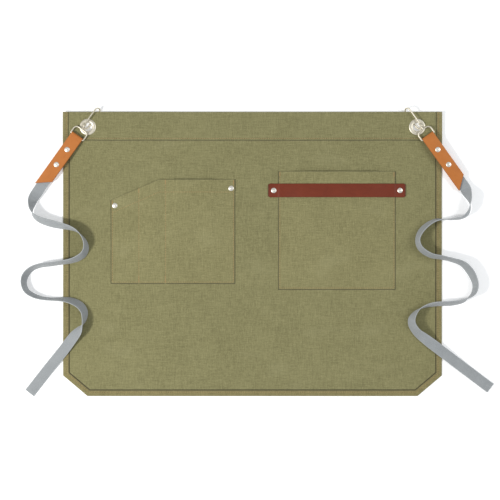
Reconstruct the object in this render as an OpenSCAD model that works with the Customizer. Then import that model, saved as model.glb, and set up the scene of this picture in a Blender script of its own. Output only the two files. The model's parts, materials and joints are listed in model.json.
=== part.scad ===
// Half apron of waxed canvas, laid flat with its front up and its top edge towards +Y.
// Two webbing ties clip to it: each ends in a leather tab on a snap hook,
// and the hook passes through an eyelet and over the waistband's top edge.
// The origin is on the table, under the middle of the canvas.

/* [Canvas] */
// Width of the canvas
apron_w = 700; // [560:1:900]
// Height of the canvas
apron_h = 525; // [460:1:700]
// Thickness of one layer of canvas
canvas_t = 1; // [0.8:0.1:1.3]
// Length that each bottom corner takes off the bottom edge
corner_w = 45; // [20:1:70]
// Length that each bottom corner takes off the side edge
corner_h = 38; // [20:1:70]
// Width of the hems on the sides, the corners and the bottom
hem_w = 11; // [8:0.5:16]
// Depth of the folded waistband
band_h = 52; // [46:1:60]
// Depth of the slope from the raised waistband down to the table
slope_h = 40; // [36:1:60]

/* [Pockets] */
// Width of the tool pocket
tool_w = 229; // [180:1:240]
// Height of the tool pocket
tool_h = 192; // [150:1:210]
// Middle of the tool pocket, left of the apron's middle
tool_x = 147; // [140:1:150]
// Depth of the tool pocket's mouth below the top edge
tool_top = 125; // [110:1:140]
// Run of the tool pocket's slanted corner
slant_w = 89; // [50:1:120]
// Drop of the tool pocket's slanted corner
slant_h = 38; // [20:1:60]
// Width of the square pocket
square_w = 216; // [180:1:230]
// Height of the square pocket
square_h = 218; // [180:1:225]
// Middle of the square pocket, right of the apron's middle
square_x = 156; // [145:1:165]
// Depth of the square pocket's mouth below the top edge
square_top = 110; // [100:1:125]
// Room between a pocket's middle and the canvas, at its mouth
pocket_gap = 5; // [4.5:0.1:8]
// Width of the flat seam along a pocket's sides
seam_w = 14; // [12:0.5:18]
// Width of the flat seam along a pocket's bottom
seam_h = 6; // [4:0.5:12]
// Width of the rise from the seam to the full room
rise_w = 30; // [20:1:45]

/* [Towel strap] */
// Width of the leather strap
strap_w = 25; // [18:1:32]
// Thickness of the leather strap
strap_t = 2; // [1.5:0.1:3]
// Length that the strap reaches past each side of the square pocket
strap_over = 19; // [17:0.5:24]
// Depth of the strap's middle below the pocket's mouth
strap_drop = 35; // [30:1:60]

/* [Rivets] */
// Diameter of a rivet's cap
cap_d = 10; // [8:0.1:11]
// Height of a rivet's cap
cap_h = 1.3; // [1:0.1:2]
// Diameter of a rivet's post
post_d = 3; // [2:0.1:4]
// Diameter of a rivet's back
back_d = 9; // [7:0.1:10]
// Thickness of a rivet's back
back_t = 0.6; // [0.4:0.05:0.7]
// Distance of a strap rivet from the strap's end
strap_rivet_in = 10.3; // [9:0.1:11]
// Distance of a pocket rivet below the pocket's corner, on the slanted side
slant_rivet_in = 10; // [8:0.5:14]
// Distance of a pocket rivet below the pocket's corner, on the square side
corner_rivet_in = 16; // [10:0.5:20]

/* [Eyelets] */
// Distance of an eyelet from the side edge
eyelet_side = 46; // [40:1:60]
// Distance of an eyelet from the top edge
eyelet_top = 28; // [26:0.5:29]
// Bore of an eyelet
eyelet_bore = 16; // [15.6:0.1:17]
// Diameter of an eyelet's flange
flange_d = 30; // [27:0.5:32]
// Thickness of an eyelet's flange and of its washer
flange_t = 0.9; // [0.6:0.1:1]
// Thickness of an eyelet's barrel
barrel_t = 0.6; // [0.4:0.1:0.8]

/* [Snap hooks] */
// Diameter of the hook's wire
wire_d = 2.8; // [2.4:0.1:3]
// Width of the hook between its arms' middles
hook_w = 13; // [12.5:0.1:14]
// Length of the hook's straight arms
hook_l = 32; // [31:0.5:34]
// Angle of the hook's plane from the table
hook_tilt = 55; // [50:1:60]
// Angle of the hooks and tabs from the apron's own height
tab_lean = 36; // [30:1:38]
// Length of the ring from its arch to its bar
ring_l = 16; // [14:0.5:20]
// Diameter of the gate's wire
gate_d = 2.4; // [2:0.1:2.6]
// Diameter of the gate's hinge pin
pin_d = 1.6; // [1.2:0.1:1.8]

/* [Tabs and ties] */
// Width of a leather tab
tab_w = 24; // [22:0.5:27]
// Length of a tab from the ring's bar to the middle of its slanted end
tab_l = 105; // [95:1:110]
// Thickness of a tab's leather
tab_t = 1.6; // [1.2:0.1:2]
// Length by which a tab's end is slanted
tab_slant = 20; // [10:1:24]
// Angle by which a tab dips towards the table
tab_dip = 2; // [1:0.1:2.2]
// Distance from the bar to a tab's first rivet
rivet_first = 30; // [24:1:34]
// Distance between a tab's two rivets
rivet_pitch = 34; // [24:1:40]
// Length by which the doubled webbing runs past a tab's first rivet
anchor_over = 12; // [10:1:20]
// Width of the ties' webbing
tie_w = 20; // [16:0.5:22]
// Thickness of the ties' webbing
tie_t = 1.5; // [1:0.1:1.8]

/* [Clearances] */
// Free space between parts that move past each other
free_gap = 0.4; // [0.2:0.05:0.5]
// Free space between the waistband and the tab above it, at the ring's bar
tab_rise = 0.9; // [0.8:0.1:2]
// Running clearance around a pin or a bar
run_gap = 0.1; // [0.05:0.01:0.1]
// Space around a rivet or a barrel in its cloth
seat_gap = 0.05; // [0.02:0.01:0.1]

/* [Hidden] */
$fn = 64;

OLIVE = "#8f8764";
DARK_OLIVE = "#7d7657";
OXBLOOD = "#7a2f22";
TAN = "#c8773a";
NICKEL = "#d9d2bd";
GREY = "#a9adb0";

past = 1;                        // how far a cutting shape runs past what it cuts
side_x = apron_w / 2;
top_y = apron_h / 2;
wire_r = wire_d / 2;

// Flange of an eyelet: a flat ring with a rolled edge and a rounded mouth
rim_t = 0.4 * flange_t;
rim_w = 2;
mouth_w = 1;
mouth_h = 0.4;

// Levels: the hooks' back arms lie on the table, and the waistband lies on them
arm_z = wire_r + run_gap;
band_z = arm_z + wire_r + free_gap + flange_t;
band_top = band_z + 2 * canvas_t;
flange_top = band_top + flange_t;
slope_top_y = top_y - band_h;
slope_low_y = slope_top_y - slope_h;

// Hook, in its own frame: origin at the eyelet, +Y towards the tip, -X to the apron's outside
arm_gap_z = hook_w / 2 * sin(hook_tilt);
hook_z = arm_z + arm_gap_z;
hook_x = -3;
foot_y = 1.2;
tip_y = foot_y + hook_l;
fold_r = wire_r + run_gap;       // bend of the tab's leather round the ring's bar
tab_half = fold_r + tab_t;
ring_z = band_top + tab_rise + tab_half;
stem_a = (ring_z - hook_z) / sin(hook_tilt);
ring_x = hook_x - stem_a * cos(hook_tilt);
stem_y = foot_y - sqrt(pow(hook_w / 2, 2) - pow(stem_a, 2));
arch_y = -10;
bar_y = arch_y - ring_l;
ring_side = tab_w / 2 + free_gap + wire_r;
shoulder_r = 7;                  // bends of the ring beside the hook
bar_bend_r = 1.6;                // bends of the ring at its bar
nose_l = 2;                      // straight end of the hook's wire, past its tip

// Gate hinge: two cheeks on the hook, with the gate's eye and the spring between them
eye_r = pin_d / 2 + 1;
eye_t = 1.8;
spring_t = 1.2;
cheek_t = 0.8;
heel_l = 1.8;                    // block that joins the two cheeks to the hook's bend
pin_head = 0.3;                  // how far the pin stands out of each cheek
cheek_gap = eye_t + spring_t + 3 * run_gap;
pin_l = cheek_gap + 2 * (cheek_t + pin_head);
coil_low = 0.25;                 // depth of the spring's wire between its turns
coil_high = 0.45;                // and at its turns

anchor_l = tab_l - tab_slant / 2;

// The ties' routes on the table: place of the webbing's middle, and its angle from upright.
// The first points run on from the tab, and the last ones lie flat.
LEFT_ROUTE = [
    [-379.6, 139.6, 6.9, 90], [-388.5, 127.4, 6.4, 90], [-397.5, 113.5, 7.2, 80],
    [-404.5, 101.5, 9.2, 57], [-406.5, 91.5, 11, 33], [-407, 83, 12.2, 10],
    [-404, 72.5, 12.2, -17], [-395, 65, 11.5, -31], [-383.5, 60, 11, -37], [-366, 55, 10.8, -40],
    [-350, 51.5, 11.6, -32], [-337, 48.5, 12.1, -23], [-324, 42.5, 12, -10],
    [-313, 31.5, 11.7, 2], [-307.5, 20, 11.4, 15], [-307, 9, 11.1, 24], [-312, -1, 10.9, 29],
    [-322, -8, 11, 29], [-334, -12.5, 11.9, 24], [-350, -15.5, 12.2, 21], [-371, -18.8, 11.4, 21],
    [-393, -21.5, 10.5, 22], [-409, -28.5, 9.9, 23], [-419, -40.5, 9.6, 28],
    [-421.5, -54, 9.8, 22], [-416, -68, 10, 19], [-402, -77, 10.5, 17], [-386, -81.5, 11.3, 13],
    [-369, -83, 12.1, 13], [-351, -83.3, 12.4, 19], [-334, -86, 11.7, 29],
    [-319, -93.5, 10.5, 36], [-310.5, -105, 10.3, 33], [-309.5, -118, 10.9, 20],
    [-313, -130, 11.2, -3], [-320.5, -141.5, 9.3, -45], [-331.5, -154.5, 6.3, -73],
    [-348.5, -177, 3.9, -87], [-380, -216, 1.4, -90], [-412, -257, 1, -90]
];
RIGHT_ROUTE = [
    [379.6, 139.6, 6.9, 90], [391.4, 123.4, 6.3, 90], [395.5, 112.5, 9.2, 50],
    [399, 102, 11.6, 18], [400.5, 93, 12.2, -6], [400, 83, 12.1, -16], [395.5, 74, 11.9, -20],
    [386, 67, 12.2, -13], [370, 64.3, 12.6, -6], [352, 64, 12.8, 2], [337, 62.5, 12.5, 11],
    [323, 55, 11.9, 18], [311, 43.5, 11.5, 21], [304.5, 29.5, 11.6, 17], [306, 16.5, 11.5, 20],
    [314.5, 5.5, 11.2, 24], [330, -3, 11.8, 23], [349, -6.5, 12.3, 20], [368, -11, 11.4, 20],
    [387.5, -18, 10.3, 28], [401, -32, 9.4, 35], [409, -47.5, 9.5, 28], [411, -60.5, 9.7, 22],
    [407.5, -72, 10.1, 14], [400, -79.5, 10.5, 1], [388.5, -86.5, 10.8, -20],
    [370, -90.5, 11.3, -25], [350, -91.5, 12, -25], [335, -92.5, 11.9, -24],
    [321, -95.5, 11.6, -17], [308, -101, 11.5, -4], [299, -109.5, 11.3, 14],
    [293.5, -120.5, 10.4, 32], [295, -132, 9.8, 39], [303, -144, 9, 45], [316, -154.5, 7.2, 62],
    [332, -166.5, 5, 80], [352, -181.5, 3.7, 88], [396, -215, 1.1, 90], [440, -248, 1, 90]
];

// Outline of the canvas, and of its inner line where the hems end
corner_l = sqrt(corner_w * corner_w + corner_h * corner_h);
in_side = hem_w * (corner_l - corner_h) / corner_w;
in_foot = hem_w * (corner_l - corner_w) / corner_h;
TOP_OUT = [side_x, top_y];
SIDE_OUT = [side_x, corner_h - top_y];
FOOT_OUT = [side_x - corner_w, -top_y];
TOP_IN = [side_x - hem_w, top_y];
SIDE_IN = SIDE_OUT + [-hem_w, in_side];
FOOT_IN = FOOT_OUT + [-in_foot, hem_w];

function flip(p) = [-p[0], p[1]];

module place(side) {
    mirror([side > 0 ? 1 : 0, 0, 0])
        translate([eyelet_side - side_x, top_y - eyelet_top, 0])
            rotate([0, 0, -tab_lean]) children();
}

module bar_frame() {
    translate([ring_x, bar_y, ring_z]) rotate([tab_dip, 0, 0]) children();
}

// One layer of canvas, level times canvas_t above the lowest, over the whole panel
module layer(level) {
    z = level * canvas_t;
    translate([-side_x - past, 0, z]) rotate([90, 0, 90])
        linear_extrude(apron_w + 2 * past) polygon([
            [-top_y - past, 0], [slope_low_y, 0], [slope_top_y, band_z], [top_y + past, band_z],
            [top_y + past, band_z + canvas_t], [slope_top_y, band_z + canvas_t],
            [slope_low_y, canvas_t], [-top_y - past, canvas_t]
        ]);
}

module cut_layer(level, points) {
    intersection() {
        layer(level);
        translate([0, 0, -past]) linear_extrude(flange_top + 2 * past) polygon(points);
    }
}

module eyelet_holes() {
    for (s = [-1, 1])
        translate([s * (side_x - eyelet_side), top_y - eyelet_top, -past])
            cylinder(r = eyelet_bore / 2 + barrel_t + seat_gap, h = flange_top + 2 * past);
}

// Where the rivets stand: through the strap's ends, and through the tool pocket's corners
strap_y = top_y - square_top - strap_drop;
strap_rivet_x = square_w / 2 + strap_over - strap_rivet_in;
STRAP_RIVETS = [for (s = [-1, 1]) [square_x + s * strap_rivet_x, strap_y]];
POCKET_RIVETS = [
    [-tool_x - tool_w / 2 + seam_w / 2, top_y - tool_top - slant_h - slant_rivet_in],
    [-tool_x + tool_w / 2 - seam_w / 2, top_y - tool_top - corner_rivet_in]
];

module rivet_seats(places) {
    for (p = places) translate([p[0], p[1], -past]) {
        cylinder(d = back_d + 2 * seat_gap, h = past + back_t + seat_gap);
        cylinder(d = post_d + 2 * seat_gap, h = past + flange_top);
    }
}

module rivet(grip) {
    translate([0, 0, -grip]) cylinder(d = post_d, h = grip + cap_h / 2);
    rotate_extrude() polygon([
        [0, 0], [cap_d / 2, 0], [cap_d / 2, cap_h * 0.35], [cap_d * 0.44, cap_h * 0.7],
        [cap_d * 0.3, cap_h], [0, cap_h]
    ]);
}

module rivet_back() {
    cylinder(d = back_d, h = back_t);
}

module main_panel() {
    color(OLIVE) difference() {
        cut_layer(0, [
            TOP_OUT, SIDE_OUT, FOOT_OUT, flip(FOOT_OUT), flip(SIDE_OUT), flip(TOP_OUT)
        ]);
        eyelet_holes();
        rivet_seats(STRAP_RIVETS);
        rivet_seats(POCKET_RIVETS);
    }
}

module waistband() {
    low = slope_top_y;
    color(OLIVE) difference() {
        cut_layer(1, [
            TOP_IN, [TOP_IN[0], low], [-TOP_IN[0], low], flip(TOP_IN)
        ]);
        eyelet_holes();
    }
}

module side_hem(side) {
    color(DARK_OLIVE) mirror([side < 0 ? 1 : 0, 0, 0])
        cut_layer(1, [TOP_OUT, SIDE_OUT, SIDE_IN, TOP_IN]);
}

module corner_hem(side) {
    color(DARK_OLIVE) mirror([side < 0 ? 1 : 0, 0, 0])
        cut_layer(1, [SIDE_OUT, FOOT_OUT, FOOT_IN, SIDE_IN]);
}

module hem_bottom() {
    color(DARK_OLIVE) cut_layer(1, [FOOT_OUT, flip(FOOT_OUT), flip(FOOT_IN), FOOT_IN]);
}

// The shape under a pocket's skin: it rises from the seams to the mouth's full room
module pocket_room(w, h, lift, margin) {
    intersection() {
        rotate([90, 0, 90]) translate([0, 0, -w / 2]) linear_extrude(w) polygon([
            [-h + margin[1], 0], [past, 0], [past, pocket_gap + lift],
            [0, pocket_gap + lift], [-h + seam_h, lift], [-h + margin[1], lift]
        ]);
        rotate([90, 0, 0]) translate([0, 0, -past]) linear_extrude(h + past) polygon([
            [margin[0] - w / 2, 0], [margin[0] - w / 2, lift], [seam_w - w / 2, lift],
            [seam_w + rise_w - w / 2, pocket_gap + lift],
            [w / 2 - seam_w - rise_w, pocket_gap + lift],
            [w / 2 - seam_w, lift], [w / 2 - margin[0], lift], [w / 2 - margin[0], 0]
        ]);
    }
}

module pocket(w, h, points) {
    difference() {
        intersection() {
            pocket_room(w, h, canvas_t, [0, 0]);
            translate([0, 0, -past])
                linear_extrude(pocket_gap + canvas_t + 2 * past) polygon(points);
        }
        pocket_room(w, h, 0, [seam_w, seam_h]);
    }
}

module tool_pocket() {
    x = tool_w / 2;
    color(OLIVE) difference() {
        translate([-tool_x, top_y - tool_top, canvas_t]) pocket(tool_w, tool_h, [
            [-x, -tool_h], [x, -tool_h], [x, 0], [slant_w - x, 0], [-x, -slant_h]
        ]);
        rivet_seats(POCKET_RIVETS);
    }
}

module square_pocket() {
    x = square_w / 2;
    color(OLIVE) translate([square_x, top_y - square_top, canvas_t])
        pocket(square_w, square_h, [[-x, -square_h], [x, -square_h], [x, 0], [-x, 0]]);
}

// The strap crosses the pocket and steps down to the canvas past each side of it
module towel_strap() {
    end_x = square_w / 2 + strap_over;
    step_x = square_w / 2 + free_gap;
    edge_z = 2 * canvas_t + free_gap / 2;
    high_z = edge_z + pocket_gap;
    high_x = square_w / 2 - seam_w - rise_w;
    seam_x = square_w / 2 - seam_w;
    under = [
        [-end_x, canvas_t], [-step_x - canvas_t, canvas_t], [-step_x, edge_z], [-seam_x, edge_z],
        [-high_x, high_z], [high_x, high_z], [seam_x, edge_z], [step_x, edge_z],
        [step_x + canvas_t, canvas_t], [end_x, canvas_t]
    ];
    over = [for (i = [len(under) - 1:-1:0]) under[i] + [0, strap_t]];
    color(OXBLOOD) difference() {
        translate([square_x, strap_y + strap_w / 2, 0]) rotate([90, 0, 0])
            linear_extrude(strap_w) polygon(concat(under, over));
        rivet_seats(STRAP_RIVETS);
    }
}

module strap_rivets() {
    color(NICKEL) for (p = STRAP_RIVETS)
        translate([p[0], p[1], canvas_t + strap_t]) rivet(canvas_t + strap_t - back_t);
}

module pocket_rivets() {
    color(NICKEL) for (p = POCKET_RIVETS)
        translate([p[0], p[1], 2 * canvas_t]) rivet(2 * canvas_t - back_t);
}

module rivet_backs(places) {
    color(NICKEL) for (p = places) translate([p[0], p[1], 0]) rivet_back();
}

// An eyelet is pressed from the front, and its barrel passes the canvas and the washer
module eyelet() {
    bore_r = eyelet_bore / 2;
    color(NICKEL) rotate_extrude() polygon([
        [bore_r, band_z - flange_t], [bore_r + barrel_t, band_z - flange_t],
        [bore_r + barrel_t, band_top], [flange_d / 2, band_top],
        [flange_d / 2, band_top + rim_t], [flange_d / 2 - rim_w, flange_top],
        [bore_r + mouth_w, flange_top], [bore_r, flange_top - mouth_h]
    ]);
}

module eyelet_washer() {
    color(NICKEL) rotate_extrude() polygon([
        [eyelet_bore / 2 + barrel_t + seat_gap, band_z - flange_t],
        [flange_d / 2 - rim_w / 2, band_z - flange_t], [flange_d / 2, band_z - flange_t / 2],
        [flange_d / 2, band_z], [eyelet_bore / 2 + barrel_t + seat_gap, band_z]
    ]);
}

// The hook's plane: X runs across from the front arm to the back arm, Y along it
module hook_plane() {
    translate([hook_x, 0, hook_z]) rotate([0, hook_tilt, 0]) children();
}

module bend(radius, from, turn) {
    rotate([0, 0, from]) rotate_extrude(angle = turn)
        translate([radius, 0]) circle(r = wire_r, $fn = 32);
}

module run(from, length, spin) {
    translate(from) rotate(spin) cylinder(r = wire_r, h = length, $fn = 32);
}

module ring() {
    side_run = ring_l - shoulder_r - bar_bend_r;
    translate([ring_x, 0, ring_z]) {
        run([0, stem_y, 0], stem_y - arch_y, [90, 0, 0]);
        run([shoulder_r - ring_side, arch_y, 0], 2 * (ring_side - shoulder_r), [0, 90, 0]);
        run([bar_bend_r - ring_side, bar_y, 0], 2 * (ring_side - bar_bend_r), [0, 90, 0]);
        for (s = [0, 1]) mirror([s, 0, 0]) {
            translate([ring_side - shoulder_r, arch_y - shoulder_r, 0]) bend(shoulder_r, 0, 90);
            run([ring_side, arch_y - shoulder_r, 0], side_run, [90, 0, 0]);
            translate([ring_side - bar_bend_r, bar_y + bar_bend_r, 0]) bend(bar_bend_r, 270, 90);
        }
    }
}

module snap_hook() {
    arm = hook_w / 2;
    color(NICKEL) difference() {
        union() {
            hook_plane() {
                run([arm, foot_y, 0], hook_l, [-90, 0, 0]);
                translate([0, tip_y, 0]) bend(arm, 0, 180);
                run([-arm, tip_y, 0], nose_l, [90, 0, 0]);
                translate([0, foot_y, 0]) bend(arm, 180, 180);
                translate([-arm, foot_y, -cheek_gap / 2 - cheek_t])
                    cylinder(r = eye_r, h = cheek_gap + 2 * cheek_t);
                translate([-arm - eye_r, foot_y - eye_r - heel_l, -cheek_gap / 2 - cheek_t])
                    cube([2 * eye_r, eye_r + heel_l, cheek_gap + 2 * cheek_t]);
            }
            ring();
        }
        hook_plane() {
            translate([-arm - eye_r - past, foot_y - eye_r - run_gap, -cheek_gap / 2])
                cube([2 * eye_r + 2 * past, 2 * eye_r + past, cheek_gap]);
            translate([-arm, foot_y, -pin_l]) cylinder(d = pin_d, h = 2 * pin_l);
        }
    }
}

module gate() {
    gate_l = hook_l - nose_l - free_gap;
    color(NICKEL) hook_plane() translate([-hook_w / 2, foot_y, 0]) difference() {
        union() {
            rotate([-90, 0, 0]) cylinder(d = gate_d, h = gate_l, $fn = 32);
            gate_eye();
        }
        translate([0, 0, -pin_l]) cylinder(d = pin_d + 2 * run_gap, h = 2 * pin_l);
        translate([-eye_r, -eye_r, cheek_gap / 2 - 2 * run_gap - spring_t])
            cube([2 * eye_r, 2 * eye_r + run_gap, spring_t + past]);
        translate([-eye_r, -eye_r, -cheek_gap / 2 - past])
            cube([2 * eye_r, 2 * eye_r + run_gap, past + run_gap]);
    }
}

module gate_eye() {
    translate([0, 0, run_gap - cheek_gap / 2]) cylinder(r = eye_r - run_gap, h = eye_t);
}

module gate_pin() {
    color(NICKEL) hook_plane() translate([-hook_w / 2, foot_y, -pin_l / 2])
        cylinder(d = pin_d, h = pin_l);
}

// Coil of the gate's return spring, round the pin beside the gate's eye
module gate_spring() {
    turns = 3;
    pitch = spring_t / turns;
    color("silver") hook_plane()
        translate([-hook_w / 2, foot_y, cheek_gap / 2 - run_gap - spring_t])
            rotate_extrude() polygon(concat(
                [[pin_d / 2 + run_gap, 0]],
                [for (i = [0:turns - 1], k = [0, 1])
                    [pin_d / 2 + run_gap + (k == 0 ? coil_low : coil_high),
                     pitch * (i + 0.5 * k + 0.25)]],
                [[pin_d / 2 + run_gap, spring_t]]
            ));
}

// Side of the tab: leather round the bar, with a slot between its two layers
module tab(side) {
    far = tab_l + tab_slant / 2;
    near = tab_l - tab_slant / 2;
    out = -side * tab_w / 2;
    color(TAN) bar_frame() difference() {
        intersection() {
            translate([-tab_w / 2, 0, 0]) rotate([90, 0, 90]) linear_extrude(tab_w) difference() {
                union() {
                    circle(r = tab_half);
                    translate([-far, -tab_half]) square([far, 2 * tab_half]);
                }
                circle(r = fold_r);
                translate([-far - past, -fold_r]) square([far + past, 2 * fold_r]);
            }
            translate([0, 0, -2 * tab_half]) linear_extrude(4 * tab_half) polygon([
                [-out, 2 * tab_half], [out, 2 * tab_half], [out, -near], [-out, -far]
            ]);
        }
        tab_rivet_holes(post_d + 2 * seat_gap);
    }
}

module tab_rivet_holes(d) {
    for (i = [0, 1]) translate([0, -rivet_first - i * rivet_pitch, -2 * tab_half])
        cylinder(d = d, h = 4 * tab_half);
}

// Doubled end of the webbing, riveted between the tab's two layers
module tie_anchor() {
    color(GREY) bar_frame() difference() {
        translate([-tie_w / 2, -anchor_l, -fold_r])
            cube([tie_w, anchor_l - rivet_first + anchor_over, 2 * fold_r]);
        tab_rivet_holes(post_d + 2 * seat_gap);
    }
}

module tab_rivets() {
    color(NICKEL) bar_frame() for (i = [0, 1])
        translate([0, -rivet_first - i * rivet_pitch, tab_half]) rivet(2 * tab_half);
}

module tab_rivet_backs() {
    color(NICKEL) bar_frame() for (i = [0, 1])
        translate([0, -rivet_first - i * rivet_pitch, -tab_half - back_t]) rivet_back();
}

// A tie is its webbing's flat section swept along the route, two rings to a point
function unit(v) = v / norm(v);
function at(route, i) = route[min(max(i, 0), len(route) - 1)];
function between(route, i) =
    (9 * (at(route, i) + at(route, i + 1)) - at(route, i - 1) - at(route, i + 2)) / 16;
function fine(route) = [
    for (i = [0:len(route) - 1], k = [0, 1]) if (k == 0 || i < len(route) - 1)
        k == 0 ? route[i] : between(route, i)
];
function along(path, i) = unit([
    at(path, i + 1)[0] - at(path, i - 1)[0], at(path, i + 1)[1] - at(path, i - 1)[1], 0
]);
function ring_points(path, side) = [
    for (i = [0:len(path) - 1])
        let (p = path[i], d = along(path, i), out = [d[1], -d[0], 0] * side,
             wide = cos(p[3]) * [0, 0, 1] + sin(p[3]) * out,
             thick = cross(d, wide))
        for (c = [[-1, -1], [1, -1], [1, 1], [-1, 1]])
            [p[0], p[1], p[2]] + wide * c[0] * tie_w / 2 + thick * c[1] * tie_t / 2
];

module tie(route, side) {
    path = fine(route);
    n = len(path);
    color(GREY) polyhedron(
        points = ring_points(path, side),
        faces = concat(
            [[0, 1, 2], [0, 2, 3]],
            [for (i = [0:n - 2], k = [0:3]) let (a = 4 * i + k, b = 4 * i + (k + 1) % 4)
                each [[a, a + 4, b + 4], [a, b + 4, b]]],
            [[4 * n - 1, 4 * n - 2, 4 * n - 3], [4 * n - 1, 4 * n - 3, 4 * n - 4]]
        ),
        convexity = 8
    );
}

main_panel();
waistband();
side_hem(-1);  // hem_left
side_hem(1);  // hem_right
hem_bottom();
corner_hem(-1);  // hem_corner_left
corner_hem(1);  // hem_corner_right
tool_pocket();
square_pocket();
towel_strap();
strap_rivets();
rivet_backs(STRAP_RIVETS);  // strap_rivet_backs
pocket_rivets();
rivet_backs(POCKET_RIVETS);  // pocket_rivet_backs
place(-1) eyelet();  // eyelet_left
place(1) eyelet();  // eyelet_right
place(-1) eyelet_washer();  // eyelet_washer_left
place(1) eyelet_washer();  // eyelet_washer_right
place(-1) snap_hook();  // snap_hook_left
place(1) snap_hook();  // snap_hook_right
place(-1) gate();  // gate_left
place(1) gate();  // gate_right
place(-1) gate_pin();  // gate_pin_left
place(1) gate_pin();  // gate_pin_right
place(-1) gate_spring();  // gate_spring_left
place(1) gate_spring();  // gate_spring_right
place(-1) tab(-1);  // tab_left
place(1) tab(1);  // tab_right
place(-1) tie_anchor();  // tie_anchor_left
place(1) tie_anchor();  // tie_anchor_right
place(-1) tab_rivets();  // tab_rivets_left
place(1) tab_rivets();  // tab_rivets_right
place(-1) tab_rivet_backs();  // tab_rivet_backs_left
place(1) tab_rivet_backs();  // tab_rivet_backs_right
tie(LEFT_ROUTE, 1);  // tie_left
tie(RIGHT_ROUTE, -1);  // tie_right
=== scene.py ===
import json
import math
import random
import bmesh
import bpy
from mathutils import Matrix, Vector, noise


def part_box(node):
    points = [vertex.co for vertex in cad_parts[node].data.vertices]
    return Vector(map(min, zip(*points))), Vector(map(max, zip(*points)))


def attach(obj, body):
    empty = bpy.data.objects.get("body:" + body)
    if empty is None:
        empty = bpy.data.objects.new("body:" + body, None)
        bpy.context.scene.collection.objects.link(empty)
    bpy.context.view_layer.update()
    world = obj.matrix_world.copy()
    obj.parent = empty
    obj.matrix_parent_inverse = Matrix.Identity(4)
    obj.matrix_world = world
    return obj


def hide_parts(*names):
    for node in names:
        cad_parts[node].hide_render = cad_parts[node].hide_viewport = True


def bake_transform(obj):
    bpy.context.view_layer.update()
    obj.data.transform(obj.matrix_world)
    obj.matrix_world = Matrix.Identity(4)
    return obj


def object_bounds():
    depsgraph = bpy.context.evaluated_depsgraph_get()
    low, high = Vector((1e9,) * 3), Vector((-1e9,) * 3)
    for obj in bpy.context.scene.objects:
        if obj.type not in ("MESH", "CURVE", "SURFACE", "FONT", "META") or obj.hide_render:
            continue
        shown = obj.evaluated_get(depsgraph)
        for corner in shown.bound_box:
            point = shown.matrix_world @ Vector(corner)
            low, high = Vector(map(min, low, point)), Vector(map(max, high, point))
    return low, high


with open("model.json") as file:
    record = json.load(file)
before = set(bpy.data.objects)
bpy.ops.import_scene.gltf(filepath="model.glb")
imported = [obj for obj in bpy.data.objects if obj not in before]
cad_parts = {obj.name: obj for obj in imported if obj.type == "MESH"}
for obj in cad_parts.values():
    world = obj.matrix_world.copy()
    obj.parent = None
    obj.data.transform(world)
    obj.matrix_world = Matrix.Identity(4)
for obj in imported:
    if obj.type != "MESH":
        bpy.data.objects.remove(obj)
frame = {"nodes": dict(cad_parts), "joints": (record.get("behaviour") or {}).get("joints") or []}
cad_low, cad_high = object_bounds()

# ---- Camera -----------------------------------------------------------------
# The apron lies face up on a table and is seen from straight above its middle.
camera = bpy.data.objects.new("camera", bpy.data.cameras.new("camera"))
camera.location = (-0.0046, 0.0074, 2.4)
camera.data.sensor_width = 36
camera.data.lens = 93.4
camera.data.clip_end = 20
bpy.context.scene.collection.objects.link(camera)
bpy.context.scene.camera = camera

# ---- Ties -------------------------------------------------------------------
# Two lengths of grey cotton webbing, 20 mm wide. Each runs out of its leather tab,
# stands on its edge in loose curves over the apron's side, and lies flat at its cut end.
MM = 0.001
WEBBING_W = 0.020
WEBBING_T = 0.0015
# Middle of the webbing in mm, and its angle from upright
LEFT_ROUTE = [
    [-379.6, 139.6, 6.9, 90], [-388.5, 127.4, 6.4, 90], [-397.5, 113.5, 7.2, 80],
    [-404.5, 101.5, 9.2, 57], [-406.5, 91.5, 11, 33], [-407, 83, 12.2, 10],
    [-404, 72.5, 12.2, -17], [-395, 65, 11.5, -31], [-383.5, 60, 11, -37], [-366, 55, 10.8, -40],
    [-350, 51.5, 11.6, -32], [-337, 48.5, 12.1, -23], [-324, 42.5, 12, -10],
    [-313, 31.5, 11.7, 2], [-307.5, 20, 11.4, 15], [-307, 9, 11.1, 24], [-312, -1, 10.9, 29],
    [-322, -8, 11, 29], [-334, -12.5, 11.9, 24], [-350, -15.5, 12.2, 21], [-371, -18.8, 11.4, 21],
    [-393, -21.5, 10.5, 22], [-409, -28.5, 9.9, 23], [-419, -40.5, 9.6, 28],
    [-421.5, -54, 9.8, 22], [-416, -68, 10, 19], [-402, -77, 10.5, 17], [-386, -81.5, 11.3, 13],
    [-369, -83, 12.1, 13], [-351, -83.3, 12.4, 19], [-334, -86, 11.7, 29],
    [-319, -93.5, 10.5, 36], [-310.5, -105, 10.3, 33], [-309.5, -118, 10.9, 20],
    [-313, -130, 11.2, -3], [-320.5, -141.5, 9.3, -45], [-331.5, -154.5, 6.3, -73],
    [-348.5, -177, 3.9, -87], [-380, -216, 1.4, -90], [-412, -257, 1, -90],
]
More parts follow.
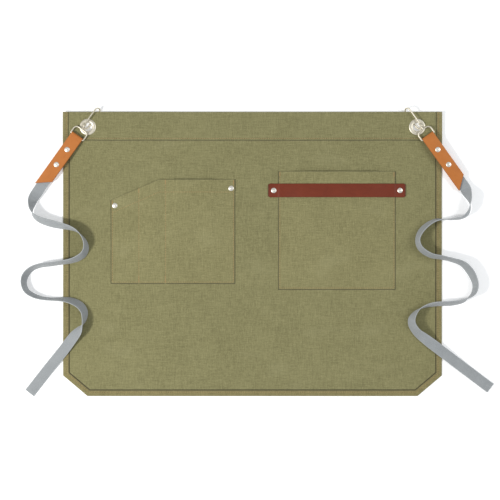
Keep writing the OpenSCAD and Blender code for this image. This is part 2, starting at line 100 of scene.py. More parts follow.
RIGHT_ROUTE = [
    [379.6, 139.6, 6.9, 90], [391.4, 123.4, 6.3, 90], [395.5, 112.5, 9.2, 50],
    [399, 102, 11.6, 18], [400.5, 93, 12.2, -6], [400, 83, 12.1, -16], [395.5, 74, 11.9, -20],
    [386, 67, 12.2, -13], [370, 64.3, 12.6, -6], [352, 64, 12.8, 2], [337, 62.5, 12.5, 11],
    [323, 55, 11.9, 18], [311, 43.5, 11.5, 21], [304.5, 29.5, 11.6, 17], [306, 16.5, 11.5, 20],
    [314.5, 5.5, 11.2, 24], [330, -3, 11.8, 23], [349, -6.5, 12.3, 20], [368, -11, 11.4, 20],
    [387.5, -18, 10.3, 28], [401, -32, 9.4, 35], [409, -47.5, 9.5, 28], [411, -60.5, 9.7, 22],
    [407.5, -72, 10.1, 14], [400, -79.5, 10.5, 1], [388.5, -86.5, 10.8, -20],
    [370, -90.5, 11.3, -25], [350, -91.5, 12, -25], [335, -92.5, 11.9, -24],
    [321, -95.5, 11.6, -17], [308, -101, 11.5, -4], [299, -109.5, 11.3, 14],
    [293.5, -120.5, 10.4, 32], [295, -132, 9.8, 39], [303, -144, 9, 45], [316, -154.5, 7.2, 62],
    [332, -166.5, 5, 80], [352, -181.5, 3.7, 88], [396, -215, 1.1, 90], [440, -248, 1, 90],
]


class Level:
    """A number inside a material. The usual signs add its Math nodes."""

    def __init__(self, finish, socket):
        self.finish, self.socket = finish, socket

    def join(self, operation, *values):
        inputs = {i: v for i, v in enumerate(values)}
        return self.finish.add("ShaderNodeMath", inputs, operation=operation)

    def __add__(self, other):
        return self.join("ADD", self, other)

    def __radd__(self, other):
        return self.join("ADD", other, self)

    def __sub__(self, other):
        return self.join("SUBTRACT", self, other)

    def __rsub__(self, other):
        return self.join("SUBTRACT", other, self)

    def __mul__(self, other):
        return self.join("MULTIPLY", self, other)

    def __rmul__(self, other):
        return self.join("MULTIPLY", other, self)

    def __abs__(self):
        return self.join("ABSOLUTE", self)

    def sine(self):
        return self.join("SINE", self)

    def at_most(self, other):
        return self.join("MINIMUM", self, other)

    def at_least(self, other):
        return self.join("MAXIMUM", self, other)

    def between(self, low, high):
        """0 below low, 1 above high, and a smooth rise between them."""
        node = self.finish.add(
            "ShaderNodeMapRange", {"Value": self, "From Min": low, "From Max": high},
            interpolation_type="SMOOTHSTEP",
        )
        return node


class Finish:
    """A surface under construction, with one Principled shader."""

    def __init__(self, name, **constants):
        self.material = bpy.data.materials.new(name)
        self.material.use_nodes = True
        self.nodes = self.material.node_tree.nodes
        self.nodes.clear()
        self.shader = self.nodes.new("ShaderNodeBsdfPrincipled")
        output = self.nodes.new("ShaderNodeOutputMaterial")
        self.link(self.shader.outputs[0], output.inputs["Surface"])
        self.feed(self.shader, {k.replace("_", " "): v for k, v in constants.items()})

    def link(self, start, end):
        self.material.node_tree.links.new(start, end)

    def feed(self, node, inputs):
        for key, value in inputs.items():
            if isinstance(value, Level):
                self.link(value.socket, node.inputs[key])
            else:
                node.inputs[key].default_value = value

    def add(self, kind, inputs=(), out=0, **settings):
        """Any node: its settings first, then the values or links of its sockets."""
        node = self.nodes.new(kind)
        for name, value in settings.items():
            setattr(node, name, value)
        self.feed(node, dict(inputs))
        return Level(self, node.outputs[out])

    def place(self, *scale, turn=0.0):
        """The point on the piece in mm, turned about Z and scaled."""
        point = self.add("ShaderNodeTexCoord", out="Object")
        sizes = [s / MM for s in scale]
        return self.add(
            "ShaderNodeMapping", {"Vector": point, "Rotation": (0, 0, turn), "Scale": sizes}
        )

    def part(self, vector, axis):
        return self.add("ShaderNodeSeparateXYZ", {"Vector": vector}, out=axis)

    def attribute(self, name):
        return self.add("ShaderNodeAttribute", out="Fac", attribute_name=name)

    def noise(self, vector, scale, detail=2.0, roughness=0.5):
        values = {"Vector": vector, "Scale": scale, "Detail": detail, "Roughness": roughness}
        return self.add("ShaderNodeTexNoise", values)

    def mix(self, amount, first, second, blend="MIX"):
        """Two colours, with amount of the second one."""
        return self.add(
            "ShaderNodeMix", {0: amount, 6: first, 7: second}, out=2,
            data_type="RGBA", blend_type=blend, clamp_result=True,
        )

    def bump(self, height, depth, strength=1.0):
        values = {"Height": height, "Distance": depth, "Strength": strength}
        return self.add("ShaderNodeBump", values)

    def set(self, **levels):
        self.feed(self.shader, {k.replace("_", " "): v for k, v in levels.items()})
        return self.material


def webbing_finish():
    """Ribbed cotton: the ribs run across the webbing, in two thread colours."""
    rib = 1.3
    finish = Finish("grey_webbing", Sheen_Weight=0.25, Sheen_Roughness=0.5)
    along = finish.attribute("along")
    across = finish.attribute("across")
    ribs = abs((along * (math.pi / rib)).sine())
    cords = abs((across * (math.pi / 0.9) + (along * (math.pi / rib)).sine() * 0.9).sine())
    place = finish.place(1, 1, 1)
    fuzz = finish.noise(place, 1.6, 3.0, 0.65)
    tone = finish.noise(place, 0.05, 2.0)
    edge = abs(across).between(8.6, 9.6)
    light = (ribs * 0.45 + cords * 0.3 + fuzz * 0.5 + tone * 0.3 - 0.35).at_least(0).at_most(1)
    colour = finish.mix(light, (0.175, 0.190, 0.198, 1), (0.41, 0.43, 0.44, 1))
    colour = finish.mix(edge * 0.35, colour, (0.50, 0.52, 0.53, 1))
    height = ribs * 0.7 + cords * 0.4 + fuzz * 0.3
    return finish.set(
        Base_Color=colour, Roughness=0.78 + fuzz * 0.15, Normal=finish.bump(height, 0.00025, 0.7)
    )


def lay_grid(rows, columns, place, closed=False):
    """A net of rows by columns points, each where place(row, column) says.
    closed joins the last column to the first, and fills the two ends."""
    bm = bmesh.new()
    across = columns + 1 if closed else columns
    layers = {name: bm.verts.layers.float.new(name) for name in place(0, 0)[1]}
    bmesh.ops.create_grid(bm, x_segments=rows - 1, y_segments=across - 1, size=1)
    for v in bm.verts:
        row = round((v.co.x + 1) / 2 * (rows - 1))
        column = round((v.co.y + 1) / 2 * (across - 1))
        v.co, notes = place(row, column % columns if closed else column)
        for name, value in notes.items():
            v[layers[name]] = value
    if closed:
        bmesh.ops.remove_doubles(bm, verts=bm.verts, dist=1e-7)
        rims = [e for e in bm.edges if e.is_boundary]
        bmesh.ops.holes_fill(bm, edges=rims, sides=0)
    bmesh.ops.recalc_face_normals(bm, faces=bm.faces)
    return bm


def finished(name, bm, material, body=None, nodes=(), smooth=math.radians(40)):
    """Makes the piece's object, gives it its finish and lets it ride on its body."""
    mesh = bpy.data.meshes.new(name)
    bm.to_mesh(mesh)
    bm.free()
    mesh.materials.append(material)
    piece = bpy.data.objects.new(name, mesh)
    bpy.context.scene.collection.objects.link(piece)
    mesh.shade_smooth()
    mesh.set_sharp_from_angle(angle=smooth)
    if body:
        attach(piece, body)
    if nodes:
        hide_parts(*nodes)
    return piece


def strap_ring(width, thick, rounding):
    """Points round a flat strap's section: across and off the strap, with round corners."""
    ring = []
    for sx, sy, start in ((1, 1, 0), (-1, 1, 90), (-1, -1, 180), (1, -1, 270)):
        for step in range(4):
            a = math.radians(start + step * 30)
            ring.append((
                sx * (width / 2 - rounding) + rounding * math.cos(a),
                sy * (thick / 2 - rounding) + rounding * math.sin(a),
            ))
    return ring


def smooth_route(route, parts):
    """The route's points, with parts - 1 more between each two, on one smooth curve."""
    points = [Vector(p) for p in route]
    ends = [points[0], *points, points[-1]]
    line = []
    for i in range(len(points) - 1):
        a, b, c, d = ends[i:i + 4]
        for k in range(parts):
            t = k / parts
            line.append(
                b + (c - a) * (0.5 * t) + (2 * a - 5 * b + 4 * c - d) * (0.5 * t * t)
                + (3 * (b - c) + d - a) * (0.5 * t ** 3)
            )
    return [*line, points[-1]]


webbing = webbing_finish()


def tie(side, route):
    name = "left" if side < 0 else "right"
    line = smooth_route(route, 8)
    middles = [p.xyz * MM for p in line]
    gone = [0.0]
    for a, b in zip(middles, middles[1:]):
        gone.append(gone[-1] + (b - a).length)
    ring = strap_ring(WEBBING_W, WEBBING_T, WEBBING_T * 0.42)
    last = len(line) - 1

    def place(row, column):
        ahead = middles[min(row + 1, last)] - middles[max(row - 1, 0)]
        ahead.z = 0
        ahead.normalize()
        out = Vector((ahead.y, -ahead.x, 0)) * -side
        lean = math.radians(line[row].w)
        wide = Vector((0, 0, math.cos(lean))) + out * math.sin(lean)
        thick = ahead.cross(wide)
        across, off = ring[column]
        wobble = 0.0004 * noise.noise(Vector((gone[row] * 45, side * 3, 0)))
        point = middles[row] + wide * (across + wobble) + thick * off
        return point, {"along": gone[row] / MM, "across": across / MM}

    bm = lay_grid(len(line), len(ring), place, closed=True)
    piece = finished(f"webbing_tie_{name}", bm, webbing, nodes=[f"tie_{name}"])
    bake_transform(piece)


tie(-1, LEFT_ROUTE)
tie(1, RIGHT_ROUTE)

# ---- Table and light --------------------------------------------------------
# A white table under plain studio light: a firm key from the left, a weak softer one
# from the right, and an even glow from all round. The table glows weakly itself, which
# keeps the shadows on it pale.
def table_finish():
    finish = Finish(
        "white_table", Roughness=0.9, Specular_IOR_Level=0.1,
        Emission_Color=(1, 1, 1, 1), Emission_Strength=0.22,
    )
    tone = finish.noise(finish.place(1, 1, 1), 0.004, 2.0)
    return finish.set(Base_Color=finish.mix(tone, (0.90, 0.905, 0.91, 1), (0.93, 0.93, 0.93, 1)))


bm = bmesh.new()
bmesh.ops.create_grid(bm, x_segments=2, y_segments=2, size=6)
bmesh.ops.translate(bm, verts=bm.verts, vec=(0, 0, cad_low.z - 0.0003))
mesh = bpy.data.meshes.new("table")
bm.to_mesh(mesh)
bm.free()
mesh.materials.append(table_finish())
table = bpy.data.objects.new("table", mesh)
bpy.context.scene.collection.objects.link(table)


def soft_light(name, place, size, power, colour):
    lamp = bpy.data.objects.new(name, bpy.data.lights.new(name, "AREA"))
    lamp.location = place
    lamp.rotation_euler = (-Vector(place)).to_track_quat("-Z", "Y").to_euler()
    lamp.data.shape = "DISK"
    lamp.data.size = size
    lamp.data.energy = power
    lamp.data.color = colour
    bpy.context.scene.collection.objects.link(lamp)


soft_light("key_light", (-1.75, -0.55, 1.65), 0.35, 43, (1, 0.99, 0.97))
soft_light("fill_light", (1.9, 0.35, 1.5), 0.9, 19, (0.97, 0.985, 1))
world = bpy.data.worlds.new("studio")
world.use_nodes = True
world.node_tree.nodes["Background"].inputs["Color"].default_value = (0.96, 0.98, 1, 1)
world.node_tree.nodes["Background"].inputs["Strength"].default_value = 0.50
bpy.context.scene.world = world
bpy.context.scene.view_settings.view_transform = "Standard"

# ---- Canvas panel -----------------------------------------------------------
# One cut of waxed canvas with two clipped lower corners. It lies on the table,
# and its top is held up a little by the hooks' back arms.
panel_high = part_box("main_panel")[1]
band_low, band_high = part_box("waistband")
SIDE_X = panel_high.x
TOP_Y = panel_high.y
CLOTH_T = 0.001
BAND_LIFT = panel_high.z - CLOTH_T
SLOPE_TOP = band_low.y
SLOPE_RUN = 0.040
CORNER_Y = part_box("hem_left")[0].y
CORNER_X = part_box("hem_bottom")[1].x
HEM_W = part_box("hem_left")[1].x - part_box("hem_left")[0].x
EYELETS = [(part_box(n)[0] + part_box(n)[1]) / 2 for n in ("eyelet_left", "eyelet_right")]


def rise(value):
    """0 below 0, 1 above 1, and smooth between."""
    t = min(max(value, 0), 1)
    return t * t * (3 - 2 * t)


# Soft creases left from folding: two ends, width and height, in metres
CREASES = [
    ((0.060, -0.190), (0.170, -0.075), 0.012, 0.0007),
    ((0.105, -0.215), (0.255, -0.090), 0.016, 0.0008),
    ((0.020, -0.080), (0.050, -0.180), 0.014, 0.0005),
    ((-0.250, -0.150), (-0.120, -0.190), 0.018, 0.0004),
    ((-0.300, 0.130), (-0.180, 0.160), 0.016, 0.0004),
]


def crease(x, y):
    height = 0
    for (ax, ay), (bx, by), width, top in CREASES:
        run = Vector((bx - ax, by - ay))
        t = min(max(((x - ax) * run.x + (y - ay) * run.y) / run.length_squared, 0), 1)
        off = math.hypot(x - ax - run.x * t, y - ay - run.y * t)
        height += top * math.exp(-((off / width) ** 2)) * math.sin(math.pi * (0.1 + 0.8 * t))
    return height


def lie(x, y):
    """Height of the canvas's underside above the table."""
    climb = rise((y - SLOPE_TOP + SLOPE_RUN) / SLOPE_RUN)
    sag = 0.35 * (1 - rise((abs(x) - 0.06) / 0.20))
    swell = 0.5 + 0.5 * noise.noise(Vector((x * 6, y * 6, 0.3)))
    ripple = 0.5 + 0.5 * noise.noise(Vector((x * 17, y * 17, 4.1)))
    calm = 1 - 0.8 * rise((abs(x) - 0.25) / 0.04)
    flat = (0.0006 * swell + 0.00025 * ripple) * calm + crease(x, y)
    return BAND_LIFT * climb * (1 - sag * climb) + flat * (1 - climb)


def canvas_finish(name, warm=0.0, light=1.0, turn=0.0):
    """Waxed plain-weave canvas in khaki olive. shade is painted shade: it darkens the cloth at folds
    and turned edges, standing in for their thin shadow lines.
    """
    pitch = 1.15
    finish = Finish(name, Sheen_Weight=0.12, Sheen_Roughness=0.6, Specular_IOR_Level=0.3)
    place = finish.place(1, 1, 1, turn=turn)
    u = (finish.part(place, "X") * (math.pi / pitch)).sine()
    v = (finish.part(place, "Y") * (math.pi / pitch)).sine()
    over = u * v
    weave = (abs(u) * (0.55 + 0.45 * over)).at_least(abs(v) * (0.55 - 0.45 * over))
    warp = finish.noise(finish.place(0.9, 0.06, 0.9, turn=turn), 1.0, 3.0, 0.6)
    weft = finish.noise(finish.place(0.06, 0.9, 0.9, turn=turn), 1.0, 3.0, 0.6)
    grain = finish.noise(place, 0.42, 4.0, 0.75)
    cloud = finish.noise(place, 0.012, 3.0, 0.6)
    wax = finish.noise(finish.place(0.010, 0.018, 0.01), 1.0, 2.0, 0.5).between(0.55, 0.75)
    dark, mid, pale = [
        (r * light * (1 + 0.14 * warm), g * light * (1 - 0.01 * warm), b * light * (1 - 0.1 * warm), 1)
        for r, g, b in ((0.112, 0.104, 0.043), (0.200, 0.186, 0.080), (0.318, 0.299, 0.145))
    ]
    level = warp * 0.9 + weft * 0.9 + grain * 1.1 + weave * 0.35 - 1.15
    colour = finish.mix(level.between(-0.1, 0.62), dark, mid)
    colour = finish.mix(level.between(0.35, 1.15), colour, pale)
    colour = finish.mix((cloud - 0.5) * 0.5 + 0.12, colour, pale)
    colour = finish.mix(wax * 0.16, colour, pale)
    # Painted shade: where the shade attribute is set, near black is mixed in as the edges' shadow
    # lines.
    shade = finish.attribute("shade").at_least(0).at_most(1)
    colour = finish.mix(shade * 0.8, colour, (0.035, 0.030, 0.016, 1))
    height = weave * 0.7 + warp * 0.5 + weft * 0.5
    return finish.set(
        Base_Color=colour, Roughness=0.86 - wax * 0.14 + grain * 0.06,
        Normal=finish.bump(height, 0.0004, 0.55),
    )


canvas = canvas_finish("waxed_canvas")
PANEL_IN = 0.0012


def open_for_eyelets(bm, reach):
    """Takes out the cloth in the eyelets' bores. The flanges cover the cut edges."""
    gone = [
        f for f in bm.faces
        if any((v.co.xy - e.xy).length < reach for v in f.verts for e in EYELETS)
    ]
    bmesh.ops.delete(bm, geom=gone, context="FACES")


def thicken(piece, thickness, offset):
    solid = piece.modifiers.new("thickness", "SOLIDIFY")
    solid.thickness = thickness
    solid.offset = offset
    solid.use_even_offset = False


def canvas_panel():
    step = 0.004
    edge_x, edge_y = SIDE_X - PANEL_IN, TOP_Y - PANEL_IN
    columns = round(2 * edge_x / step) + 1
    rows = round(2 * edge_y / step) + 1

    def place(column, row):
        x = -edge_x + 2 * edge_x * column / (columns - 1)
        y = -edge_y + 2 * edge_y * row / (rows - 1)
        return Vector((x, y, lie(x, y))), {}

    bm = lay_grid(columns, rows, place)
    for side in (-1, 1):
        slope = Vector((side * (CORNER_Y + TOP_Y), -(SIDE_X - CORNER_X), 0)).normalized()
        corner = Vector((side * SIDE_X, CORNER_Y, 0)) - slope * PANEL_IN
        bmesh.ops.bisect_plane(
            bm, geom=[*bm.verts, *bm.edges, *bm.faces], dist=1e-6,
            plane_co=corner, plane_no=slope, clear_outer=True,
        )
    open_for_eyelets(bm, 0.0088)
    for face in bm.faces:
        if face.normal.z < 0:
            face.normal_flip()
    piece = finished("canvas_panel", bm, canvas, "apron", ["main_panel"])
    thicken(piece, CLOTH_T, 1)
    return piece


panel = canvas_panel()

# ---- Hems -------------------------------------------------------------------
# The canvas's edge is turned twice to the front and sewn down. The five strips meet
# in mitres, and each is a soft roll with a sunk stitch row near its inner edge.
hem_canvas = canvas_finish("hem_canvas", warm=0.5, light=0.96)
SIDE_OUT = Vector((SIDE_X, CORNER_Y))
FOOT_OUT = Vector((CORNER_X, -TOP_Y))
TOP_OUT = Vector((SIDE_X, TOP_Y))
corner_l = (SIDE_OUT - FOOT_OUT).length
SIDE_IN = SIDE_OUT + Vector((-HEM_W, HEM_W * (corner_l - (CORNER_Y + TOP_Y)) / (SIDE_X - CORNER_X)))
FOOT_IN = FOOT_OUT + Vector((-HEM_W * (corner_l - (SIDE_X - CORNER_X)) / (CORNER_Y + TOP_Y), HEM_W))
TOP_IN = TOP_OUT - Vector((HEM_W, 0))
# Across the hem: share of its width, height in mm and painted shade. The last rows are a thin lip on
# the panel, coloured dark as the hem edge's shadow line.
HEM_SECTION = [
    (0.10, 0.05, 0.3), (0.03, 0.25, 0.2), (-0.02, 0.8, 0.0), (-0.01, 1.3, 0.0), (0.04, 1.7, 0.0),
    (0.12, 1.86, 0.0), (0.28, 1.94, 0.0), (0.45, 1.92, 0.0), (0.58, 1.8, 0.05), (0.64, 1.64, 0.2),
    (0.70, 1.76, 0.1), (0.80, 1.86, 0.0), (0.88, 1.8, 0.05), (0.93, 1.55, 0.8), (0.98, 1.3, 1.0),
    (1.03, 1.08, 1.0), (1.11, 1.03, 1.0), (1.0, 0.85, 1.0), (0.6, 0.85, 0.5),
]


def flip(point, side):
    return Vector((side * point.x, point.y))


def hem(name, out_a, out_b, in_a, in_b, node):
    rows = max(round((out_b - out_a).length / 0.004), 8) + 1

    def place(row, column):
        share, height, shade = HEM_SECTION[column]
        start = out_a + (in_a - out_a) * share
        end = out_b + (in_b - out_b) * share
        spot = start + (end - start) * (row / (rows - 1))
        pull = 0.06 * noise.noise(Vector((spot.x * 210, spot.y * 210, 0)))
        top = height + (pull if height > 1.5 else 0)
        return Vector((spot.x, spot.y, lie(spot.x, spot.y) + top * MM)), {"shade": shade}

    bm = lay_grid(rows, len(HEM_SECTION), place, closed=True)
    finished(name, bm, hem_canvas, "apron", [node])
    return bpy.data.objects[name]


for side, word in ((-1, "left"), (1, "right")):
    a, b, c, d, e, f = [flip(p, side) for p in (TOP_OUT, SIDE_OUT, FOOT_OUT, TOP_IN, SIDE_IN, FOOT_IN)]
    hem(f"side_hem_{word}", a, b, d, e, f"hem_{word}")
    hem(f"corner_hem_{word}", b, c, e, f, f"hem_corner_{word}")
hem("bottom_hem", FOOT_OUT, flip(FOOT_OUT, -1), FOOT_IN, flip(FOOT_IN, -1), "hem_bottom")

# ---- Waistband --------------------------------------------------------------
# A strip of the same canvas folded over the panel's top edge and sewn down along
# its lower edge, where its turned edge casts a thin dark line, deepened by painted shade.
BAND_END = band_high.x
# From the lower edge to the top fold: distance up from the lower edge, height in mm, and painted shade
BAND_LOW = [
    (-1.0, 1.02, 0.9), (-0.2, 1.06, 1.0), (0.0, 1.4, 0.7), (0.4, 1.8, 0.2), (1.2, 2.05, 0),
    (2.2, 2.0, 0.1), (3.0, 1.86, 0.15), (3.8, 2.0, 0.1), (5.0, 2.12, 0), (7.5, 2.15, 0),
]
BAND_TOP = [
    (4.0, 2.1, 0), (2.2, 2.08, 0), (1.0, 1.9, 0), (0.2, 1.5, 0), (-0.1, 1.0, 0), (0, 0.4, 0),
    (0.6, 0.02, 0.2), (2.0, -0.05, 0.3),
]


def waistband():
    plain = 10
    height = (TOP_Y - band_low.y) / MM
    rows = list(BAND_LOW)
    for k in range(1, plain):
        rows.append((7.5 + (height - 11.5) * k / plain, 2.12, 0))
    rows += [(height - off, z, shade) for off, z, shade in BAND_TOP]
    columns = round(2 * BAND_END / 0.004) + 1

    def place(column, row):
        up, top, shade = rows[row]
        x = -BAND_END + 2 * BAND_END * column / (columns - 1)
        y = band_low.y + up * MM
        pull = 0.10 * noise.noise(Vector((x * 190, y * 190, 7))) if top > 1.5 else 0
        wander = 0.0005 * noise.noise(Vector((x * 14, 0, 2))) if up < 8 else 0
        return Vector((x, y + wander, lie(x, y) + (top + pull) * MM)), {"shade": shade}

    bm = lay_grid(columns, len(rows), place)
    open_for_eyelets(bm, 0.0086)
    for face in bm.faces:
        if face.calc_center_median().y < TOP_Y - 0.005 and face.normal.z < 0:
            bmesh.ops.reverse_faces(bm, faces=bm.faces)
            break
    piece = finished("waistband_fold", bm, canvas, "apron", ["waistband"])
    thicken(piece, 0.0008, -1)
    return piece


band = waistband()

# ---- Stitching --------------------------------------------------------------
# Tan cotton thread, one lockstitch every four millimetres, half sunk in the cloth.
STITCH_L = 0.0034
STITCH_W = 0.00085
STITCH_PITCH = 0.0042


def thread_finish():
    finish = Finish("tan_thread", Sheen_Weight=0.3, Sheen_Roughness=0.4)
    fibre = finish.noise(finish.place(1, 1, 1), 2.4, 3.0, 0.6)
    colour = finish.mix(fibre, (0.29, 0.165, 0.060, 1), (0.50, 0.34, 0.150, 1))
    return finish.set(
        Base_Color=colour, Roughness=0.6 + fibre * 0.2, Normal=finish.bump(fibre, 0.0002, 0.5)
    )


thread = thread_finish()
hand = random.Random(7)


def stitch(bm, spot, angle, height, length=STITCH_L):
    turn = Matrix.Rotation(angle + hand.uniform(-0.04, 0.04), 4, "Z")
    size = Matrix.Diagonal((length / 2, STITCH_W / 2, STITCH_W / 2, 1))
    move = Matrix.Translation((spot.x, spot.y, height))
    bmesh.ops.create_uvsphere(bm, u_segments=8, v_segments=5, radius=1, matrix=move @ turn @ size)


def sew(bm, start, end, top):
    """A row of stitches from start to end, on the cloth whose face is at top(x, y)."""
    start, end = Vector(start), Vector(end)
    run = end - start
    count = max(round(run.length / STITCH_PITCH), 1)
    for k in range(count):
        spot = start + run * ((k + 0.5) / count)
        angle = math.atan2(run.y, run.x)
        stitch(bm, spot, angle, top(spot.x, spot.y) + 0.00012)


def bar_tack(bm, spot, angle, top, length=0.007):
    """Dense cross stitches that lock the end of a row."""
    ahead = Vector((math.cos(angle), math.sin(angle)))
    for k in range(8):
        at = Vector(spot) + ahead * (length * (k / 7 - 0.5))
        lean = 0.5 if k % 2 else -0.5
        stitch(bm, at, angle + math.pi / 2 + lean, top(at.x, at.y) + 0.0003, 0.0026)


def hem_face(x, y):
    return lie(x, y) + 1.62 * MM


HEM_ROW = 0.64
bm = bmesh.new()
for side in (-1, 1):
    a, b, c = [
        flip(o + (i - o) * HEM_ROW, side)
        for o, i in ((TOP_OUT, TOP_IN), (SIDE_OUT, SIDE_IN), (FOOT_OUT, FOOT_IN))
    ]
    sew(bm, a, b, hem_face)
    sew(bm, b, c, hem_face)
row_end = FOOT_OUT + (FOOT_IN - FOOT_OUT) * HEM_ROW
sew(bm, flip(row_end, -1), row_end, hem_face)
hem_rows = finished("hem_stitching", bm, thread, "apron")

bm = bmesh.new()
band_row_y = band_low.y + 3 * MM
sew(bm, (-BAND_END, band_row_y), (BAND_END, band_row_y), lambda x, y: lie(x, y) + 1.88 * MM)
band_row = finished("waistband_stitching", bm, thread, "apron")

# ---- Pockets ----------------------------------------------------------------
# Two patch pockets of canvas with turned edges. The left one has a slanted corner and
# two sewn tool slots, and the right one is a plain square behind the leather strap.
MOUTH_LIFT = 0.0034
POCKET_HEM = 0.023
pocket_canvas = canvas_finish("pocket_canvas", warm=0.08, light=1.05)
# Lines of the net near a turned edge, in mm from it, with the drop of the face and painted shade,
# which draws the edge's dark shadow line
POCKET_EDGE = [
    (-0.7, 1.0, 1.0), (0.0, 0.8, 1.0), (0.35, 0.45, 0.8), (0.9, 0.15, 0.1), (1.7, 0.06, 0),
    (2.6, 0.24, 0.15), (3.5, 0.06, 0), (5.0, 0.0, 0), (8.0, 0.0, 0),
]


class Pocket:
    """A pocket's outline and the height of its face."""

    def __init__(self, node, slant_w=0.0, slant_h=0.0, slots=()):
        self.low, self.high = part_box(node)
        self.slant_w, self.slant_h = slant_w, slant_h
        self.slots = slots

    def mouth(self, x):
        """The mouth's Y at x: level, or down the slanted corner."""
        back = self.low.x + self.slant_w - x
        return self.high.y - (self.slant_h * back / self.slant_w if back > 0 and self.slant_w else 0)

    def lift(self, x, y):
        side = min(x - self.low.x, self.high.x - x)
        across = rise((side - 0.008) / 0.045)
        along = rise((y - self.low.y - 0.006) / (self.high.y - self.low.y - 0.006))
        for slot in self.slots:
            across *= 1 - 0.75 * math.exp(-(((x - slot) / 0.014) ** 2))
        return MOUTH_LIFT * across * along

    def face(self, x, y):
        turned = 0.0006 * rise((POCKET_HEM + 0.001 - (self.mouth(x) - y)) / 0.002)
        groove = 0
        for slot in self.slots:
            groove += 0.0003 * math.exp(-(((x - slot) / 0.0012) ** 2))
        return lie(x, y) + 2 * CLOTH_T + self.lift(x, y) + turned - groove


def graded(length, edge, step, extra=()):
    """Distances from 0 to length: the edge's own lines at both ends, and even steps between."""
    first = [d for d, _, _ in edge]
    inner = [length - d for d in reversed(first)]
    gap = inner[0] - first[-1]
    count = max(round(gap / step), 1)
    middle = [first[-1] + gap * k / count for k in range(1, count)]
    for spot in extra:
        middle = [m for m in middle if abs(m - spot) > 1.6]
        middle += [spot - 1.5, spot, spot + 1.5]
    return first + sorted(middle) + inner


def edge_drop(distance):
    """How far the face drops at a distance in mm from a turned edge, and its painted shade."""
    for (a, da, sa), (b, db, sb) in zip(POCKET_EDGE, POCKET_EDGE[1:]):
        if distance <= b:
            t = min(max((distance - a) / (b - a), 0), 1)
            return da + (db - da) * t, sa + (sb - sa) * t
    return 0, 0


def pocket_cloth(name, pocket, node):
    width = (pocket.high.x - pocket.low.x) / MM
    marks = [pocket.slant_w / MM] if pocket.slant_w else []
    marks += [(s - pocket.low.x) / MM for s in pocket.slots]
    xs = graded(width, POCKET_EDGE, 3.0, marks)
    full = (pocket.high.y - pocket.low.y) / MM
    ys = graded(full, POCKET_EDGE, 3.0, [full - POCKET_HEM / MM])

    def place(column, row):
        x = pocket.low.x + xs[column] * MM
        top = pocket.mouth(min(max(x, pocket.low.x), pocket.high.x))
        # Rows keep their distance from the mouth, and share out what the slant takes
        share = rise((ys[row] - 10) / (full - 60)) if pocket.slant_w else 0
        y = pocket.low.y + ys[row] * MM - (pocket.high.y - top) * share
        inside = min(xs[column], width - xs[column], ys[row])
        drop, shade = edge_drop(inside)
        over = (y - top) / MM
        mouth_drop = 0.7 * rise((over + 0.9) / 1.6)
        z = pocket.face(x, min(y, top)) - max(drop, mouth_drop) * MM
        return Vector((x, min(y, top + 0.0003), z)), {"shade": shade}

    bm = lay_grid(len(xs), len(ys), place)
    if sum(f.normal.z for f in bm.faces) < 0:
        bmesh.ops.reverse_faces(bm, faces=bm.faces)
    piece = finished(name, bm, pocket_canvas, "apron", [node])
    thicken(piece, 0.0009, -1)
    return piece


tool_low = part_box("tool_pocket")[0]
slot_xs = (tool_low.x + 0.0515, tool_low.x + 0.1005)
tool = Pocket("tool_pocket", 0.089, 0.038, slot_xs)
square = Pocket("square_pocket")
tool_cloth = pocket_cloth("tool_pocket_cloth", tool, "tool_pocket")
square_cloth = pocket_cloth("square_pocket_cloth", square, "square_pocket")

IN = 2.6 * MM


def edge_face(pocket):
    return lambda x, y: pocket.face(x, y) - 0.00022


def sew_round(bm, pocket):
    """The row that holds a pocket's sides and bottom."""
    low, high = pocket.low, pocket.high
    face = edge_face(pocket)
    left_top = pocket.mouth(low.x) - IN
    sew(bm, (low.x + IN, left_top), (low.x + IN, low.y + IN), face)
    sew(bm, (low.x + IN, low.y + IN), (high.x - IN, low.y + IN), face)
    sew(bm, (high.x - IN, low.y + IN), (high.x - IN, high.y - IN), face)
    bar_tack(bm, (low.x + IN, left_top - 2 * MM), math.pi / 2, face)
    bar_tack(bm, (high.x - IN, high.y - 2 * IN), math.pi / 2, face)


bm = bmesh.new()
sew_round(bm, tool)
slant_end = tool.low.x + tool.slant_w
slant_foot = (tool.low.x + IN, tool.mouth(tool.low.x) - POCKET_HEM)
slant_head = (slant_end, tool.high.y - POCKET_HEM)
sew(bm, slant_foot, slant_head, edge_face(tool))
sew(bm, slant_head, (tool.high.x - IN, tool.high.y - POCKET_HEM), edge_face(tool))
for slot in slot_xs:
    top = tool.mouth(slot) - 2 * MM
    sew(bm, (slot, top), (slot, tool.low.y + IN), edge_face(tool))
    bar_tack(bm, (slot, top - 2 * MM), math.pi / 2, edge_face(tool))
    bar_tack(bm, (slot, tool.low.y + 8 * MM), math.pi / 2, edge_face(tool), 0.012)
tool_rows = finished("tool_pocket_stitching", bm, thread, "apron")

bm = bmesh.new()
sew_round(bm, square)
square_rows = finished("square_pocket_stitching", bm, thread, "apron")

# ---- Towel strap ------------------------------------------------------------
# A strip of red-brown leather across the square pocket, riveted through the panel past
# each side of it. Its edges are burnished dark, and its ends are clipped.
strap_low, strap_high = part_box("towel_strap")
STRAP_T = 0.002


